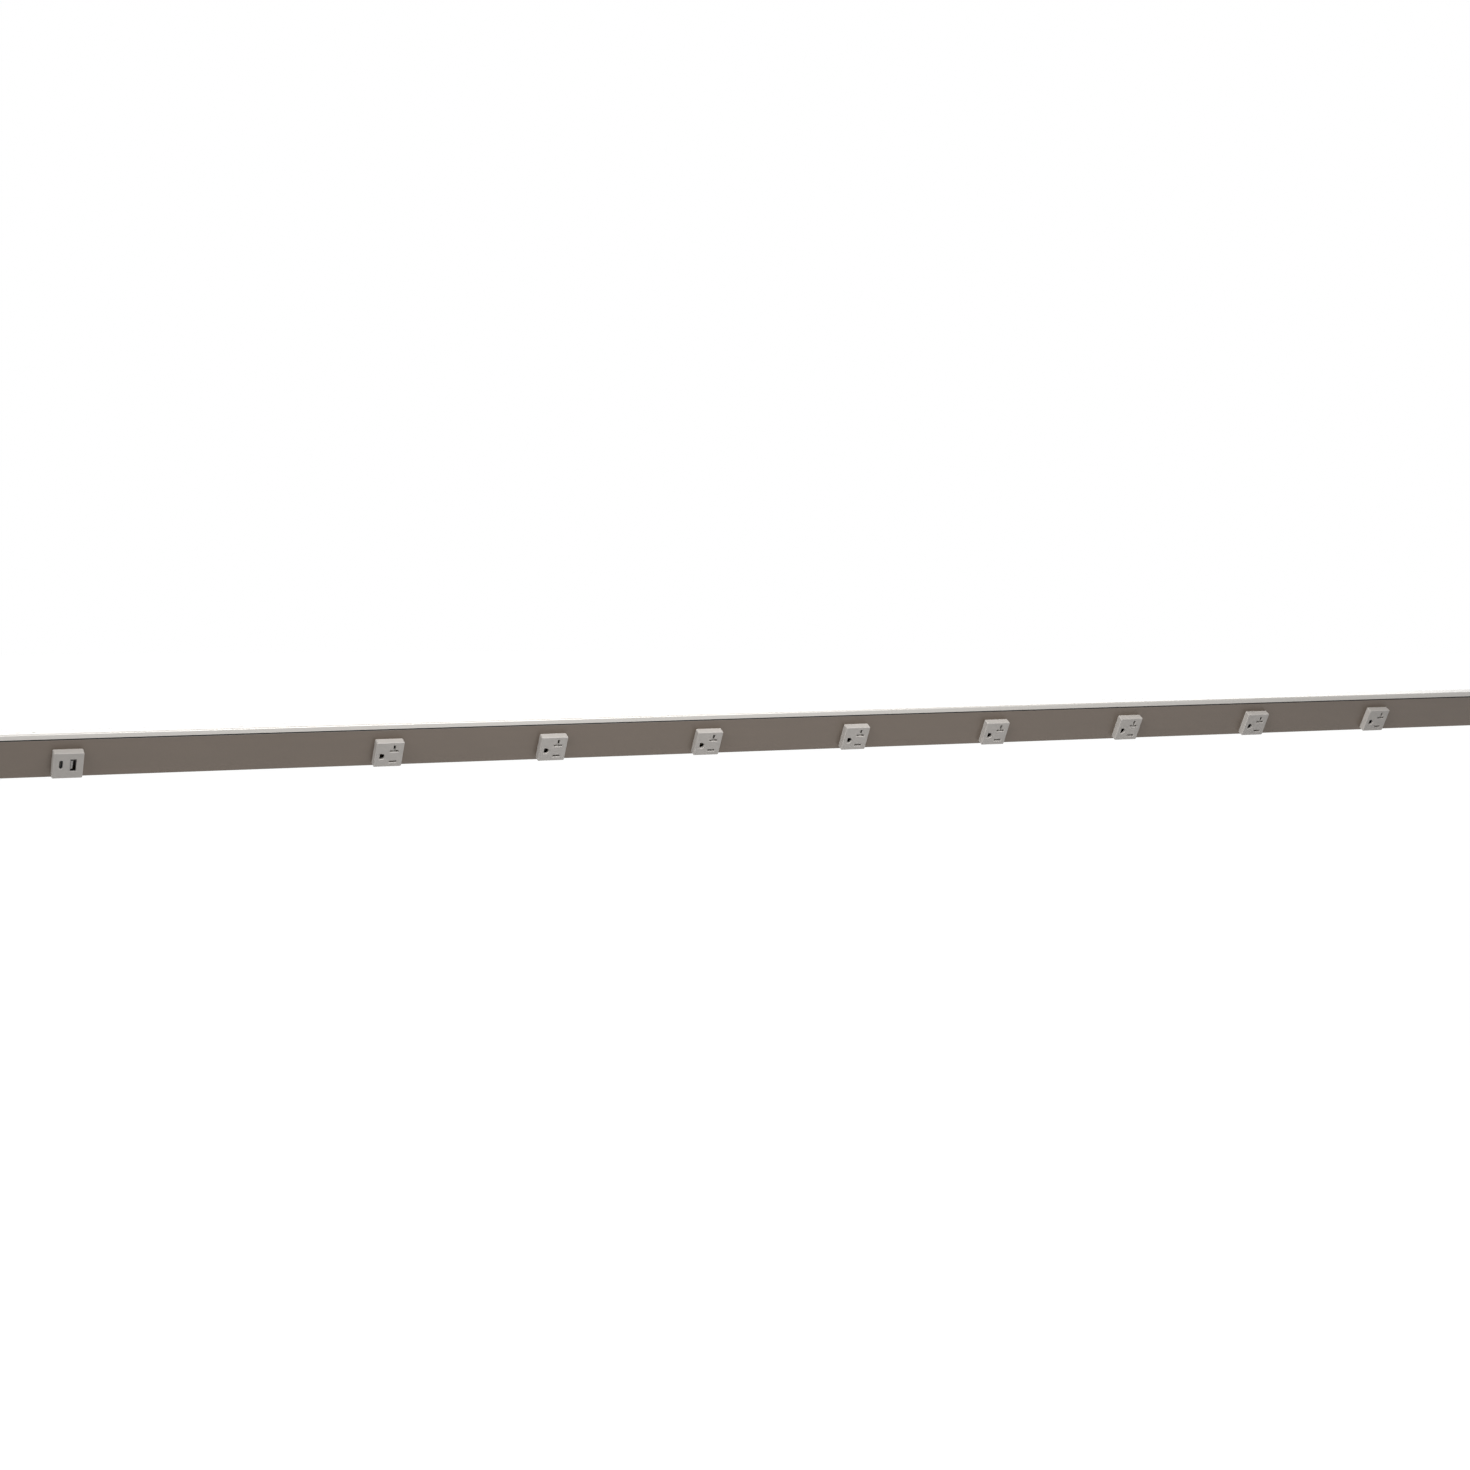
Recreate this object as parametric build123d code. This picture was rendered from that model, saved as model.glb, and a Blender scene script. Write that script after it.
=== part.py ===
from build123d import *
import math
import os

os.makedirs("parts", exist_ok=True)

# Row frame: X runs along the strip, -Y is the front and +Z is up.
# The top face that goes against the cabinet lies at Z = 0, midway between front and back at Y = 0.

# Strip section
strip_length = 1828.8
strip_depth = 44.5
lip_height = 5.5
seam_gap = 1.2
face_width = 42.5
face_tilt = 30.0
metal_wall = 1.5
bend_inside_radius = 0.3
nose_radius = 0.6
cover_gap = 0.15
hook_wall = 1.2
hook_height = 3.0
return_height = 5.0
catch_proud = 0.7
catch_height = 1.2

# Modules along the strip
module_pitch = 177.8
usb_from_end = 88.9
outlet_from_usb = 321.5
outlet_end_room = 88.9
module_drop = 25.2

# Module cap: the square block that stands on the sloping face
module_size = 29.3
module_proud = 7.4
module_corner_bevel = 0.8
module_edge_bevel = 0.6
front_wall = 2.5
side_wall = 1.3
outlet_bevel = 0.6
usb_bevel = 0.35

# Module body behind the cap
fit_gap = 0.1
neck_gap = 0.15
shoulder_gap = 0.05
body_size = 28.4
body_depth = 22.0
neck_rise = 1.7
guard_wall = 1.0
guard_length = 22.0
snap_proud = 0.4
snap_height = 0.8
snap_length = 8.0
snap_level = 3.2

# Outlet pattern, as seen from the front with the ground hole at the left
blade_x = 4.9
outlet_y = -2.35
blade_spacing = 12.7
ground_offset = 11.9
slot_width = 2.1
neutral_slot_length = 8.8
hot_slot_length = 7.6
stem_length = 6.8
ground_hole_width = 5.1
ground_hole_height = 6.3
ground_arch_sides = 20

# Contacts
contact_strip = 0.6
contact_setback = 0.5
jaw_depth = 14.0
hot_jaw_width = 7.0
neutral_jaw_width = 8.0
stem_jaw_width = 3.6
stem_jaw_offset = 4.6
jaw_mouth = 1.6
jaw_pinch = 0.85
jaw_pinch_depth = 2.2
jaw_back = 1.3
pocket_gap = 0.3
ground_jaw_width = 4.6
ground_jaw_depth = 12.0
ground_jaw_mouth = 3.0
ground_jaw_pinch = 2.2
ground_jaw_back = 2.5
tail_strip = 0.8
tail_shoulder = 1.0

# Shutter and its spring
shutter_travel = 2.8
shutter_half_width = 5.5
shutter_gap = 0.2
shutter_bar = 3.2
window_margin = 0.2
shutter_rib = 0.8
spring_window_width = 3.4
spring_post = 1.0
spring_strip = 0.2
spring_half_width = 1.1
spring_folds = 4
spring_gap = 0.05
rail_width = 0.8
rail_height = 2.0

# Wires
wire_radius = 1.65
wire_gap = 0.1
wire_sink = 1.8
wire_end_margin = 18.0
wire_tail = 20.0

# USB module
usb_c_x = -6.9
usb_c_y = 1.4
usb_c_length = 8.94
usb_c_width = 3.2
usb_c_wall = 0.3
usb_c_tongue_length = 6.7
usb_c_tongue_thickness = 0.7
usb_a_x = 4.8
usb_a_y = 0.5
usb_a_length = 13.1
usb_a_width = 5.7
usb_a_wall = 0.4
usb_a_tongue_thickness = 1.9
usb_a_tongue_margin = 1.6
usb_opening_gap = 0.15
usb_shell_setback = 0.3
usb_tongue_setback = 1.0
tongue_base = 1.5
board_level = -3.2
board_thickness = 1.6
board_gap = 0.15
usb_wall = 2.8
usb_ledge = 0.8
usb_floor_wall = 1.5
usb_tap_margin = 1.8
part_margin = 1.0
part_gap = 1.2
transformer_size = 10.0
transformer_floor_gap = 3.15
capacitor_floor_gap = 2.15

# Fixings
mounting_hole_radius = 2.3
mounting_holes_from_end = (44.4, 262.4, 674.4)
port_wall = 1.2
port_inner_wall = 0.4
port_slit = 1.0
port_level = 33.0
screw_radius = 1.45
screw_head_radius = 2.8
screw_head_height = 1.9
screw_length = 12.0
screw_sides = 12
screw_gap = 0.05
cap_plate = 2.5
cap_edge_bevel = 0.6
cap_rib = 1.6
cap_rib_length = 24.0
cap_rib_depth = 4.0
cap_hole_gap = 0.15
knockout_radius = 11.1
knockout_depth = 0.8
knockout_from_end = 45.0
knockout_level = 20.0
ground_screw_radius = 2.0
ground_screw_head_radius = 4.0
ground_screw_head_height = 3.0
ground_screw_from_end = 60.0

# Places worked out from the sizes above
slope = math.radians(face_tilt)
front_y = -strip_depth / 2
back_y = strip_depth / 2
face_top_z = -(lip_height + seam_gap)
bottom_z = face_top_z - face_width * math.cos(slope)
face_bottom_y = front_y + face_width * math.sin(slope)
metal_length = strip_length - 2 * cap_plate

module_y = front_y + module_drop * math.sin(slope)
module_z = face_top_z - module_drop * math.cos(slope)
usb_x = -strip_length / 2 + usb_from_end
first_outlet_x = usb_x + outlet_from_usb
outlet_run = strip_length / 2 - outlet_end_room - first_outlet_x
outlet_x = [first_outlet_x + i * module_pitch for i in range(1 + int(outlet_run // module_pitch))]

pocket_size = module_size - 2 * side_wall
pocket_front = module_proud - front_wall
neck_size = pocket_size - 2 * fit_gap
aperture_size = neck_size + 2 * neck_gap
shoulder_z = -(metal_wall + shoulder_gap)

neutral_y = outlet_y + blade_spacing / 2
hot_y = outlet_y - blade_spacing / 2
ground_x = blade_x - ground_offset
contact_top = neck_rise - contact_setback
contact_bottom = contact_top - jaw_depth
ground_contact_bottom = contact_top - ground_jaw_depth
wire_z = -(body_depth - wire_sink)
wire_rows = {"hot": hot_y, "ground": outlet_y, "neutral": neutral_y}
tail_notch = wire_radius + wire_gap / 2
tail_half_width = tail_notch + tail_shoulder
groove_half = wire_radius + wire_gap

usb_cavity_size = body_size - 2 * usb_wall
usb_cavity_floor = wire_z + groove_half + usb_floor_wall
usb_tap_x = usb_tap_margin - usb_cavity_size / 2
usb_parts_top = board_level - board_thickness
usb_parts_reach = usb_cavity_size / 2 - usb_ledge - part_margin
transformer_height = usb_parts_top - usb_cavity_floor - transformer_floor_gap
capacitor_height = usb_parts_top - usb_cavity_floor - capacitor_floor_gap
capacitor_radius = (2 * usb_parts_reach - transformer_size - part_gap) / 2

bore_radius = screw_radius + screw_gap
port_inset = metal_wall + port_inner_wall + bore_radius
port_size = 2 * (bore_radius + port_wall)
port_places = [(back_y - port_inset, -port_inset), (back_y - port_inset, -port_level)]
ground_screw_x = -strip_length / 2 + ground_screw_from_end


def on_face(x):
    """Where a module sits: X along the strip, Y up the slope and Z straight out of the cover's face."""
    normal = (0, -math.cos(slope), -math.sin(slope))
    return Plane(origin=(x, module_y, module_z), x_dir=(1, 0, 0), z_dir=normal).location


def along_strip(profile, length):
    """A section drawn in Y and Z, run along the strip and centred on X = 0."""
    return extrude(Plane.YZ * profile, length / 2, both=True)


def bent_strip(points, inside_radius, wall):
    """The edge-on outline of a strip bent along points that lie in the middle of its wall."""
    return trace(FilletPolyline(*points, radius=inside_radius + wall / 2), wall)


def folded_strip(points, wall):
    """The edge-on outline of a strip folded sharply along points that lie in the middle of its wall."""
    points = [Vector(*point) for point in points]
    steps = [(after - before).normalized() for before, after in zip(points, points[1:])]
    sides = [Vector(-step.Y, step.X) for step in steps]
    corners = [(a + b) / (1 + a.dot(b)) for a, b in zip(sides, sides[1:])]
    mitres = [sides[0]] + corners + [sides[-1]]
    left = [point + mitre * (wall / 2) for point, mitre in zip(points, mitres)]
    right = [point - mitre * (wall / 2) for point, mitre in zip(points, mitres)]
    return Polygon(*right, *reversed(left), align=None)


def box_between(low, high):
    """A box given by its low and high corners."""
    size = [b - a for a, b in zip(low, high)]
    middle = [(a + b) / 2 for a, b in zip(low, high)]
    return Pos(*middle) * Box(*size)


def face_middle(distance):
    """A point in the middle of the cover's sloping wall, this far down from its top edge."""
    return (
        front_y + distance * math.sin(slope) + metal_wall / 2 * math.cos(slope),
        face_top_z - distance * math.cos(slope) + metal_wall / 2 * math.sin(slope),
    )


# Extruded back channel: top wall, front lip, back wall, screw ports and the ridge that holds the cover
def base_channel():
    middle = metal_wall / 2
    path = [
        (front_y + middle, -lip_height),
        (front_y + middle, -middle),
        (back_y - middle, -middle),
        (back_y - middle, bottom_z),
    ]
    section = bent_strip(path, bend_inside_radius, metal_wall)
    for y, z in port_places:
        section += Pos(y, z) * Rectangle(port_size, port_size)
    for y, z in port_places:
        section -= Pos(y, z) * Circle(bore_radius)
        slit_length = bore_radius + 2 * port_wall
        section -= Pos(y, z) * Rot(0, 0, 45) * Pos(-slit_length / 2, 0) * Rectangle(slit_length, port_slit)
    catch_z = bottom_z + return_height + cover_gap
    section += Polygon(
        (back_y - middle, catch_z + catch_height),
        (back_y - metal_wall, catch_z + catch_height),
        (back_y - metal_wall - catch_proud, catch_z),
        (back_y - middle, catch_z),
        align=None,
    )
    channel = along_strip(section, metal_length)
    for from_end in mounting_holes_from_end:
        for side in (-1, 1):
            hole = Cylinder(mounting_hole_radius, 2 * metal_wall)
            channel -= Pos(side * (strip_length / 2 - from_end), 0, -middle) * hole
    channel -= Pos(ground_screw_x, 0, -middle) * Cylinder(ground_screw_radius + screw_gap, 2 * metal_wall)
    for side in (-1, 1):
        x = side * (strip_length / 2 - knockout_from_end)
        outside = Plane(origin=(x, back_y, -knockout_level), z_dir=(0, 1, 0))
        channel -= extrude(outside * Circle(knockout_radius), -knockout_depth)
    return channel


# Snap-on cover: rounded nose, hook behind the lip, sloping face, bottom and the return that clicks in
def front_cover():
    middle = metal_wall / 2
    rear_y = back_y - metal_wall - cover_gap - middle
    corner_drop = (face_top_z - bottom_z - middle + middle * math.sin(slope)) / math.cos(slope)
    path = [
        face_middle(0),
        face_middle(corner_drop),
        (rear_y, bottom_z + middle),
        (rear_y, bottom_z + return_height),
    ]
    section = bent_strip(path, bend_inside_radius, metal_wall)
    nose = section.vertices().sort_by(Axis((0, 0, 0), (-math.sin(slope), math.cos(slope), 0)))[-2:]
    section = fillet(nose, nose_radius)
    hook_y = front_y + metal_wall + cover_gap + hook_wall / 2
    hook_drop = (hook_y - face_middle(0)[0]) / math.sin(slope)
    hook_foot = face_middle(hook_drop)[1]
    hook_top = hook_height - lip_height
    section += Pos(hook_y, (hook_top + hook_foot) / 2) * Rectangle(hook_wall, hook_top - hook_foot)
    cover = along_strip(section, metal_length)
    for x in [usb_x] + outlet_x:
        cover -= on_face(x) * Box(aperture_size, aperture_size, 4 * metal_wall)
    return cover


# Moulded cap of a module: a square block, open behind, with bevelled openings in its front
def module_cap(openings, bevel):
    cap = Pos(0, 0, module_proud / 2) * Box(module_size, module_size, module_proud)
    cap = chamfer(cap.edges().filter_by(Axis.Z), module_corner_bevel)
    cap = chamfer(cap.faces().sort_by(Axis.Z)[-1].edges(), module_edge_bevel)
    cap -= Pos(0, 0, pocket_front / 2) * Box(pocket_size, pocket_size, pocket_front)
    groove_size = pocket_size + 2 * (snap_proud + fit_gap)
    groove = Box(groove_size, snap_length + 2 * fit_gap, snap_height + 2 * fit_gap)
    cap -= Pos(0, 0, snap_level) * groove
    cap -= extrude(Pos(0, 0, pocket_front) * openings, front_wall)
    rims = [edge for wire in cap.faces().sort_by(Axis.Z)[-1].inner_wires() for edge in wire.edges()]
    return chamfer(rims, bevel)


def outlet_openings():
    """Ground hole with its arch towards the blades, a T slot on the neutral side and a plain hot slot."""
    arch = ground_hole_height / 2
    arch_x = ground_x + ground_hole_width / 2 - arch
    ground = Pos(arch_x, outlet_y) * RegularPolygon(arch, ground_arch_sides)
    ground += Pos(arch_x - arch / 2, outlet_y) * Rectangle(arch, ground_hole_height)
    ground &= Pos(ground_x, outlet_y) * Rectangle(ground_hole_width, ground_hole_height)
    neutral = Pos(blade_x, neutral_y) * Rectangle(neutral_slot_length, slot_width)
    stem = Pos(blade_x, neutral_y + stem_length / 2) * Rectangle(slot_width, stem_length)
    hot = Pos(blade_x, hot_y) * Rectangle(hot_slot_length, slot_width)
    return ground + (neutral + stem) + hot


# Moulded body of a module: the neck passes through the cover, the block stays behind it
def body_blank():
    block_height = body_depth + shoulder_z
    block = Pos(0, 0, shoulder_z - block_height / 2) * Box(body_size, body_size, block_height)
    low = -neck_size / 2
    block += box_between((low, low, shoulder_z), (-low, -low, neck_rise))
    guard_top = pocket_front - shutter_gap
    for side in (-1, 1):
        guard = Box(guard_wall, guard_length, guard_top - neck_rise)
        block += Pos(side * (neck_size - guard_wall) / 2, 0, (neck_rise + guard_top) / 2) * guard
        snap = Box(guard_wall + snap_proud, snap_length, snap_height)
        block += Pos(side * (neck_size + snap_proud - guard_wall) / 2, 0, snap_level) * snap
    for y in wire_rows.values():
        low = (-body_size, y - groove_half, -2 * body_depth)
        block -= box_between(low, (body_size, y + groove_half, wire_z + groove_half))
    return block


def tail_slot(x, y, top):
    """Slot for a contact's flat tail, from its top edge through to the wire groove."""
    half_x = tail_strip / 2 + fit_gap
    half_y = tail_half_width + fit_gap
    return box_between((x - half_x, y - half_y, -2 * body_depth), (x + half_x, y + half_y, top))


def jaw_pocket(x, y, width, mouth, depth):
    """Pocket for a jaw of this width along X, open towards the front."""
    half_x = width / 2 + pocket_gap
    half_y = mouth + contact_strip / 2 + pocket_gap
    bottom = contact_top - depth - contact_strip / 2 - fit_gap
    return box_between((x - half_x, y - half_y, bottom), (x + half_x, y + half_y, 2 * module_proud))


def outlet_body():
    body = body_blank()
    body -= jaw_pocket(blade_x, hot_y, hot_jaw_width, jaw_mouth, jaw_depth)
    body -= jaw_pocket(blade_x, neutral_y, neutral_jaw_width, jaw_mouth, jaw_depth)
    body -= jaw_pocket(ground_x, outlet_y, ground_jaw_width, ground_jaw_mouth, ground_jaw_depth)
    stem_reach = stem_jaw_offset + stem_jaw_width / 2
    stem_y = neutral_y + stem_reach / 2
    body -= Pos(blade_x, stem_y) * Rot(0, 0, 90) * jaw_pocket(0, 0, stem_reach, jaw_mouth, jaw_depth)
    body -= tail_slot(blade_x, hot_y, contact_bottom + fit_gap)
    body -= tail_slot(blade_x, neutral_y, contact_bottom + fit_gap)
    body -= tail_slot(ground_x, outlet_y, ground_contact_bottom + fit_gap)
    for side in (-1, 1):
        rail_x = blade_x + side * (shutter_half_width + shutter_gap + rail_width / 2)
        rail_z = neck_rise + rail_height / 2
        body += Pos(rail_x, 0, rail_z) * Box(rail_width, guard_length, rail_height)
    post_low, post_high = spring_post_span()
    post_top = pocket_front - 2 * shutter_gap
    half = spring_half_width
    body += box_between((blade_x - half, post_low, neck_rise), (blade_x + half, post_high, post_top))
    return body


# Brass contacts: a pair of spring leaves for each blade and pin, and tails that straddle the wires
def jaw_outline(mouth, pinch, back, depth):
    """A jaw seen edge-on: flared mouth, pinch, and the leaves down to the bight that joins them."""
    right = [
        (mouth, contact_top),
        (pinch, contact_top - jaw_pinch_depth),
        (back, contact_top - depth),
    ]
    left = [(-x, z) for x, z in reversed(right)]
    return folded_strip(right + left, contact_strip)


def jaw(width, mouth=jaw_mouth, pinch=jaw_pinch, back=jaw_back, depth=jaw_depth):
    return extrude(Plane.YZ * jaw_outline(mouth, pinch, back, depth), width / 2, both=True)


def contact_tail(x, y, top):
    """A flat tail across the wire, notched so that it straddles the wire from the front."""
    end = -body_depth + fit_gap
    half = tail_strip / 2
    tail = box_between((x - half, y - tail_half_width, end), (x + half, y + tail_half_width, top))
    notch_top = wire_z + tail_notch
    low = (x - 2 * half, y - tail_notch, 2 * end)
    return tail - box_between(low, (x + 2 * half, y + tail_notch, notch_top))


def hot_contact():
    return Pos(blade_x, hot_y) * jaw(hot_jaw_width) + contact_tail(blade_x, hot_y, contact_bottom)


def neutral_contact():
    """Two crossed jaws on one bridge: a blade can enter along the slot or along the stem of the T."""
    stem_y = neutral_y + stem_jaw_offset
    contact = Pos(blade_x, neutral_y) * jaw(neutral_jaw_width)
    contact += Pos(blade_x, stem_y) * Rot(0, 0, 90) * jaw(stem_jaw_width)
    low = (blade_x - jaw_back / 2, neutral_y, contact_bottom - contact_strip / 2)
    contact += box_between(low, (blade_x + jaw_back / 2, stem_y, contact_bottom + contact_strip / 2))
    return contact + contact_tail(blade_x, neutral_y, contact_bottom)


def ground_contact():
    leaves = jaw(ground_jaw_width, ground_jaw_mouth, ground_jaw_pinch, ground_jaw_back, ground_jaw_depth)
    return Pos(ground_x, outlet_y) * leaves + contact_tail(ground_x, outlet_y, ground_contact_bottom)


def outlet_contacts():
    return hot_contact() + neutral_contact() + ground_contact()


# Sprung shutter behind the slots: it slides down the slope until its windows line up with the slots
def shutter_levels():
    """Y of the bar and window edges, from the low end of the shutter to the top of its neutral window."""
    hot_bar_low = hot_y - shutter_bar / 2
    window = slot_width / 2 + window_margin
    hot_window = (hot_y + shutter_travel - window, hot_y + shutter_travel + window)
    neutral_window = (neutral_y + shutter_travel - window, neutral_y + shutter_travel + window)
    return hot_bar_low, hot_window, neutral_window


def spring_window_span():
    """The spring's window lies between the hot window and the bar that covers the neutral slot."""
    hot_window_top = shutter_levels()[1][1]
    return hot_window_top + shutter_rib, neutral_y - shutter_bar / 2 - shutter_rib / 2


def spring_post_span():
    low = spring_window_span()[0] + shutter_gap
    return low, low + spring_post


def outlet_shutter():
    low, hot_window, neutral_window = shutter_levels()
    high = pocket_size / 2 - shutter_gap
    bottom = neck_rise + shutter_gap
    top = pocket_front - shutter_gap
    half_width = shutter_half_width
    plate = box_between((blade_x - half_width, low, bottom), (blade_x + half_width, high, top))
    hot_half = hot_slot_length / 2 + window_margin
    neutral_half = neutral_slot_length / 2 + window_margin
    stem_half = slot_width / 2 + window_margin
    window_low, window_high = spring_window_span()
    cuts = [
        (hot_half, hot_window[0], hot_window[1]),
        (neutral_half, neutral_window[0], neutral_window[1]),
        (stem_half, neutral_window[0], 2 * high),
        (spring_window_width / 2, window_low, window_high),
    ]
    for half, cut_low, cut_high in cuts:
        corner = (blade_x - half, cut_low, -module_size)
        plate -= box_between(corner, (blade_x + half, cut_high, module_size))
    return plate


def shutter_spring():
    """A folded steel strip between the body's post and the shutter, standing on edge."""
    low = spring_post_span()[1] + spring_gap + spring_strip / 2
    high = spring_window_span()[1] - spring_gap - spring_strip / 2
    step = (high - low) / spring_folds
    reach = spring_half_width - spring_strip / 2
    points = [(-reach, low), (reach, low)]
    for fold in range(1, spring_folds):
        side = 1 if fold % 2 == 0 else -1
        points.append((side * reach, low + fold * step))
    points.append((reach, high))
    points.append((-reach, high))
    outline = folded_strip(points, spring_strip)
    bottom = neck_rise + 2 * shutter_gap
    height = pocket_front - 2 * shutter_gap - bottom
    return Pos(blade_x, 0, bottom) * extrude(outline, height)


# USB module: same cap and body, with a circuit board that carries the two ports
def usb_openings():
    length = usb_c_length + 2 * usb_opening_gap
    width = usb_c_width + 2 * usb_opening_gap
    port_c = Pos(usb_c_x, usb_c_y) * Rot(0, 0, 90) * SlotOverall(length, width)
    port_a = Pos(usb_a_x, usb_a_y) * Rectangle(
        usb_a_width + 2 * usb_opening_gap, usb_a_length + 2 * usb_opening_gap
    )
    return port_c + port_a


def usb_body():
    body = body_blank()
    half = usb_cavity_size / 2
    ledge = half - usb_ledge
    body -= box_between((-half, -half, usb_parts_top), (half, half, 2 * module_proud))
    body -= box_between((-ledge, -ledge, usb_cavity_floor), (ledge, ledge, 0))
    for y in (hot_y, neutral_y):
        body -= tail_slot(usb_tap_x, y, board_level)
    return body


def usb_board():
    size = usb_cavity_size - 2 * board_gap
    board = Pos(0, 0, board_level - board_thickness / 2) * Box(size, size, board_thickness)
    slot = Box(tail_strip + 2 * fit_gap, 2 * (tail_half_width + fit_gap), 3 * board_thickness)
    for y in (hot_y, neutral_y):
        board -= Pos(usb_tap_x, y, board_level) * slot
    return board


def usb_taps():
    """Flat brass blades that rise from the wires to the board."""
    top = board_level - fit_gap
    return contact_tail(usb_tap_x, hot_y, top) + contact_tail(usb_tap_x, neutral_y, top)


def usb_c_shell():
    top = module_proud - usb_shell_setback
    height = top - board_level
    outer = Rot(0, 0, 90) * SlotOverall(usb_c_length, usb_c_width)
    inner = Rot(0, 0, 90) * SlotOverall(usb_c_length - 2 * usb_c_wall, usb_c_width - 2 * usb_c_wall)
    return Pos(usb_c_x, usb_c_y, board_level) * extrude(outer - inner, height)


def usb_c_tongue():
    top = module_proud - usb_tongue_setback
    tongue = Box(usb_c_tongue_thickness, usb_c_tongue_length, top - board_level)
    base = Rot(0, 0, 90) * SlotOverall(
        usb_c_length - 2 * (usb_c_wall + fit_gap), usb_c_width - 2 * (usb_c_wall + fit_gap)
    )
    insert = Pos(0, 0, (top - board_level) / 2) * tongue + extrude(base, tongue_base)
    return Pos(usb_c_x, usb_c_y, board_level) * insert


def usb_a_shell():
    top = module_proud - usb_shell_setback
    outer = Rectangle(usb_a_width, usb_a_length)
    inner = Rectangle(usb_a_width - 2 * usb_a_wall, usb_a_length - 2 * usb_a_wall)
    return Pos(usb_a_x, usb_a_y, board_level) * extrude(outer - inner, top - board_level)


def usb_a_tongue():
    top = module_proud - usb_tongue_setback
    inside_x = usb_a_width / 2 - usb_a_wall - fit_gap
    inside_y = usb_a_length / 2 - usb_a_wall - fit_gap
    base = box_between((-inside_x, -inside_y, 0), (inside_x, inside_y, tongue_base))
    tongue_half = inside_y - usb_a_tongue_margin
    tongue_high = (usb_a_tongue_thickness - inside_x, tongue_half, top - board_level)
    tongue = box_between((-inside_x, -tongue_half, 0), tongue_high)
    return Pos(usb_a_x, usb_a_y, board_level) * (base + tongue)


def usb_transformer():
    place = usb_parts_reach - transformer_size / 2
    core = Box(transformer_size, transformer_size, transformer_height)
    return Pos(place, place, usb_parts_top - transformer_height / 2) * core


def usb_capacitor():
    place = usb_parts_reach - capacitor_radius
    can = Cylinder(capacitor_radius, capacitor_height)
    return Pos(place, -place, usb_parts_top - capacitor_height / 2) * can


# Wires that run the whole strip in the grooves behind the modules
def strip_wire(row):
    start = -strip_length / 2 + wire_end_margin
    end = outlet_x[-1] + wire_tail
    wire = Pos((start + end) / 2, 0, 0) * Rot(0, 90, 0) * Cylinder(wire_radius, end - start)
    return on_face(0) * Pos(0, row, wire_z) * wire


# End caps: a plate with the strip's outline and two ribs that locate the channel and the cover
def end_cap(side):
    outline = Polygon(
        (front_y, 0),
        (front_y, face_top_z),
        (face_bottom_y, bottom_z),
        (back_y, bottom_z),
        (back_y, 0),
        align=None,
    )
    plate = extrude(Plane.YZ * outline, cap_plate)
    plate = chamfer(plate.faces().sort_by(Axis.X)[-1].edges(), cap_edge_bevel)
    hole = Rot(0, 90, 0) * Cylinder(screw_radius + cap_hole_gap, 2 * cap_plate)
    for y, z in port_places:
        plate -= Pos(cap_plate / 2, y, z) * hole
    top_rib = Pos(-cap_rib_depth / 2, 0, -metal_wall - cover_gap - cap_rib / 2)
    plate += top_rib * Box(cap_rib_depth, cap_rib_length, cap_rib)
    face_rib = on_face(0) * Pos(0, 0, -metal_wall - cover_gap - cap_rib / 2)
    plate += face_rib * Pos(-cap_rib_depth / 2, 0, 0) * Box(cap_rib_depth, cap_rib_length, cap_rib)
    placed = Pos(strip_length / 2 - cap_plate, 0, 0) * plate
    return placed if side > 0 else mirror(placed, Plane.YZ)


def end_cap_screws():
    head = Pos(0, 0, screw_head_height / 2) * Cylinder(screw_head_radius, screw_head_height)
    screw = head + extrude(RegularPolygon(screw_radius, screw_sides), -screw_length)
    screws = Part()
    for side in (-1, 1):
        for y, z in port_places:
            facing = Plane(origin=(side * strip_length / 2, y, z), z_dir=(side, 0, 0)).location
            screws += facing * screw
    return screws


def ground_screw():
    head_z = -metal_wall - ground_screw_head_height / 2
    head = extrude(RegularPolygon(ground_screw_head_radius, 6), ground_screw_head_height / 2, both=True)
    shank = Pos(0, 0, -metal_wall / 2) * Cylinder(ground_screw_radius, metal_wall)
    return Pos(ground_screw_x, 0, 0) * (Pos(0, 0, head_z) * head + shank)


def save(part, name):
    export_step(part, f"parts/{name}.step")


save(base_channel(), "base_channel")
save(front_cover(), "front_cover")
save(end_cap(-1), "end_cap_left")
save(end_cap(1), "end_cap_right")
save(end_cap_screws(), "end_cap_screws")
save(ground_screw(), "ground_screw")
for name, row in wire_rows.items():
    save(strip_wire(row), f"{name}_wire")

outlet_pieces = {
    "receptacle_face": module_cap(outlet_openings(), outlet_bevel),
    "receptacle_body": outlet_body(),
    "contacts": outlet_contacts(),
    "shutter": outlet_shutter(),
    "shutter_spring": shutter_spring(),
}
for number, x in enumerate(outlet_x, start=1):
    for name, piece in outlet_pieces.items():
        save(on_face(x) * piece, f"{name}_{number}")

usb_pieces = {
    "usb_face": module_cap(usb_openings(), usb_bevel),
    "usb_body": usb_body(),
    "usb_circuit_board": usb_board(),
    "usb_mains_taps": usb_taps(),
    "usb_c_shell": usb_c_shell(),
    "usb_c_tongue": usb_c_tongue(),
    "usb_a_shell": usb_a_shell(),
    "usb_a_tongue": usb_a_tongue(),
    "usb_transformer": usb_transformer(),
    "usb_capacitor": usb_capacitor(),
}
for name, piece in usb_pieces.items():
    save(on_face(usb_x) * piece, name)
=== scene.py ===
import math

import bpy
from mathutils import Matrix, Vector


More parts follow.
